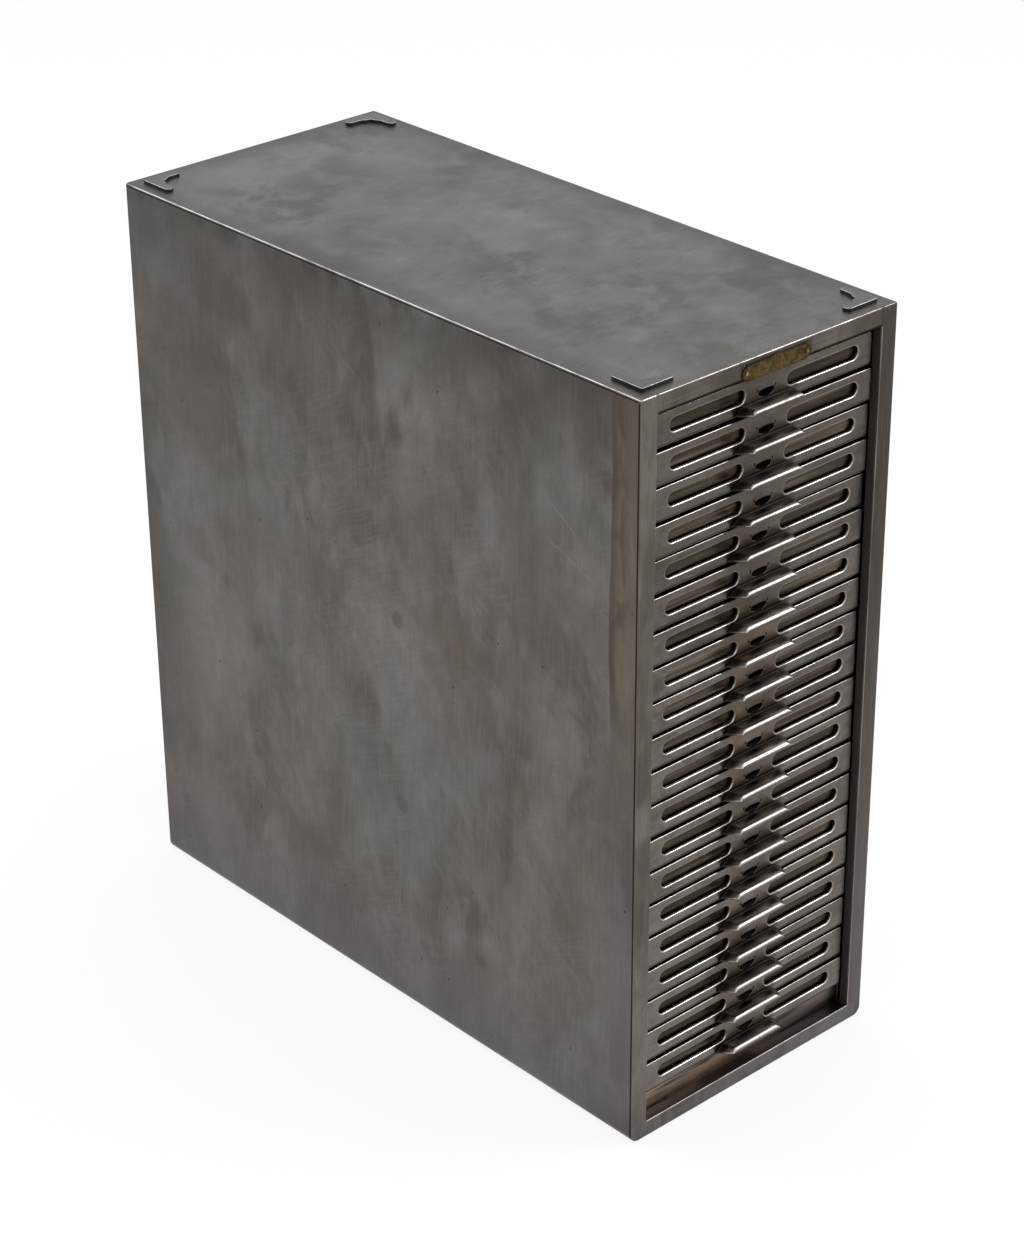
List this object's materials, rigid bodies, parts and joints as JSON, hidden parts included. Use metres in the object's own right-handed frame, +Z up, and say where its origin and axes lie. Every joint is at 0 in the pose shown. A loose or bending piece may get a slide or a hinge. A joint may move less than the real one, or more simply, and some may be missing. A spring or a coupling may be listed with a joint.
{
  "type": "small metal drawer cabinet",
  "caption": "Tall narrow steel cabinet with a column of shallow sliding drawers for record cards; each front has label windows, a catch hole and a folded pull.",
  "frame": {"origin": "centre of the cabinet's underside, where it stands", "axes": "+X to the cabinet's right as its drawers are faced, +Y to its back, +Z up"},
  "size_m": [0.267, 0.6129, 0.6434],
  "materials": {
    "case_steel": "stripped and lacquered",
    "front_steel": "brushed and lacquered",
    "tray_steel": "bare",
    "inner_steel": "bare",
    "plate_brass": "aged, bare",
    "pin_brass": "worn"
  },
  "bodies": {
    "cabinet": {"case_wrapper": "case_steel", "top_panel": "case_steel", "back_panel": "case_steel", "bottom_rail": "case_steel", "kick_plate": "case_steel", "post_left_front": "inner_steel", "post_left_middle": "inner_steel", "post_left_rear": "inner_steel", "post_right_front": "inner_steel", "post_right_middle": "inner_steel", "post_right_rear": "inner_steel", "runners_left": "inner_steel", "runners_right": "inner_steel", "corner_front_left": "case_steel", "corner_front_right": "case_steel", "corner_rear_left": "case_steel", "corner_rear_right": "case_steel", "nameplate": "plate_brass", "nameplate_pins": "pin_brass"},
    "drawer_01": {"drawer_01_front": "front_steel", "drawer_01_tray": "tray_steel"},
    "drawer_02": {"drawer_02_front": "front_steel", "drawer_02_tray": "tray_steel"},
    "drawer_03": {"drawer_03_front": "front_steel", "drawer_03_tray": "tray_steel"},
    "drawer_04": {"drawer_04_front": "front_steel", "drawer_04_tray": "tray_steel"},
    "drawer_05": {"drawer_05_front": "front_steel", "drawer_05_tray": "tray_steel"},
    "drawer_06": {"drawer_06_front": "front_steel", "drawer_06_tray": "tray_steel"},
    "drawer_07": {"drawer_07_front": "front_steel", "drawer_07_tray": "tray_steel"},
    "drawer_08": {"drawer_08_front": "front_steel", "drawer_08_tray": "tray_steel"},
    "drawer_09": {"drawer_09_front": "front_steel", "drawer_09_tray": "tray_steel"},
    "drawer_10": {"drawer_10_front": "front_steel", "drawer_10_tray": "tray_steel"},
    "drawer_11": {"drawer_11_front": "front_steel", "drawer_11_tray": "tray_steel"},
    "drawer_12": {"drawer_12_front": "front_steel", "drawer_12_tray": "tray_steel"},
    "drawer_13": {"drawer_13_front": "front_steel", "drawer_13_tray": "tray_steel"},
    "drawer_14": {"drawer_14_front": "front_steel", "drawer_14_tray": "tray_steel"},
    "drawer_15": {"drawer_15_front": "front_steel", "drawer_15_tray": "tray_steel"},
    "drawer_16": {"drawer_16_front": "front_steel", "drawer_16_tray": "tray_steel"},
    "drawer_17": {"drawer_17_front": "front_steel", "drawer_17_tray": "tray_steel"},
    "drawer_18": {"drawer_18_front": "front_steel", "drawer_18_tray": "tray_steel"},
    "drawer_19": {"drawer_19_front": "front_steel", "drawer_19_tray": "tray_steel"},
    "drawer_20": {"drawer_20_front": "front_steel", "drawer_20_tray": "tray_steel"}
  },
  "joints": [
    {"name": "drawer_01_slide", "type": "slide", "parent": "cabinet", "child": "drawer_01", "axis": [0, -1, 0], "range_m": [-0.002, 0.498]},
    {"name": "drawer_02_slide", "type": "slide", "parent": "cabinet", "child": "drawer_02", "axis": [0, -1, 0], "range_m": [-0.003, 0.497]},
    {"name": "drawer_03_slide", "type": "slide", "parent": "cabinet", "child": "drawer_03", "axis": [0, -1, 0], "range_m": [-0.0016, 0.4984]},
    {"name": "drawer_04_slide", "type": "slide", "parent": "cabinet", "child": "drawer_04", "axis": [0, -1, 0], "range_m": [-0.002, 0.498]},
    {"name": "drawer_05_slide", "type": "slide", "parent": "cabinet", "child": "drawer_05", "axis": [0, -1, 0], "range_m": [0, 0.5]},
    {"name": "drawer_06_slide", "type": "slide", "parent": "cabinet", "child": "drawer_06", "axis": [0, -1, 0], "range_m": [-0.001, 0.499]},
    {"name": "drawer_07_slide", "type": "slide", "parent": "cabinet", "child": "drawer_07", "axis": [0, -1, 0], "range_m": [-0.0015, 0.4985]},
    {"name": "drawer_08_slide", "type": "slide", "parent": "cabinet", "child": "drawer_08", "axis": [0, -1, 0], "range_m": [-0.0014, 0.4986]},
    {"name": "drawer_09_slide", "type": "slide", "parent": "cabinet", "child": "drawer_09", "axis": [0, -1, 0], "range_m": [-0.0006, 0.4994]},
    {"name": "drawer_10_slide", "type": "slide", "parent": "cabinet", "child": "drawer_10", "axis": [0, -1, 0], "range_m": [-0.001, 0.499]},
    {"name": "drawer_11_slide", "type": "slide", "parent": "cabinet", "child": "drawer_11", "axis": [0, -1, 0], "range_m": [-0.0013, 0.4987]},
    {"name": "drawer_12_slide", "type": "slide", "parent": "cabinet", "child": "drawer_12", "axis": [0, -1, 0], "range_m": [-0.001, 0.499]},
    {"name": "drawer_13_slide", "type": "slide", "parent": "cabinet", "child": "drawer_13", "axis": [0, -1, 0], "range_m": [-0.0019, 0.4981]},
    {"name": "drawer_14_slide", "type": "slide", "parent": "cabinet", "child": "drawer_14", "axis": [0, -1, 0], "range_m": [-0.0018, 0.4982]},
    {"name": "drawer_15_slide", "type": "slide", "parent": "cabinet", "child": "drawer_15", "axis": [0, -1, 0], "range_m": [-0.0018, 0.4982]},
    {"name": "drawer_16_slide", "type": "slide", "parent": "cabinet", "child": "drawer_16", "axis": [0, -1, 0], "range_m": [-0.0019, 0.4981]},
    {"name": "drawer_17_slide", "type": "slide", "parent": "cabinet", "child": "drawer_17", "axis": [0, -1, 0], "range_m": [-0.0021, 0.4979]},
    {"name": "drawer_18_slide", "type": "slide", "parent": "cabinet", "child": "drawer_18", "axis": [0, -1, 0], "range_m": [-0.0016, 0.4984]},
    {"name": "drawer_19_slide", "type": "slide", "parent": "cabinet", "child": "drawer_19", "axis": [0, -1, 0], "range_m": [-0.001, 0.499]},
    {"name": "drawer_20_slide", "type": "slide", "parent": "cabinet", "child": "drawer_20", "axis": [0, -1, 0], "range_m": [-0.0019, 0.4981]}
  ]
}
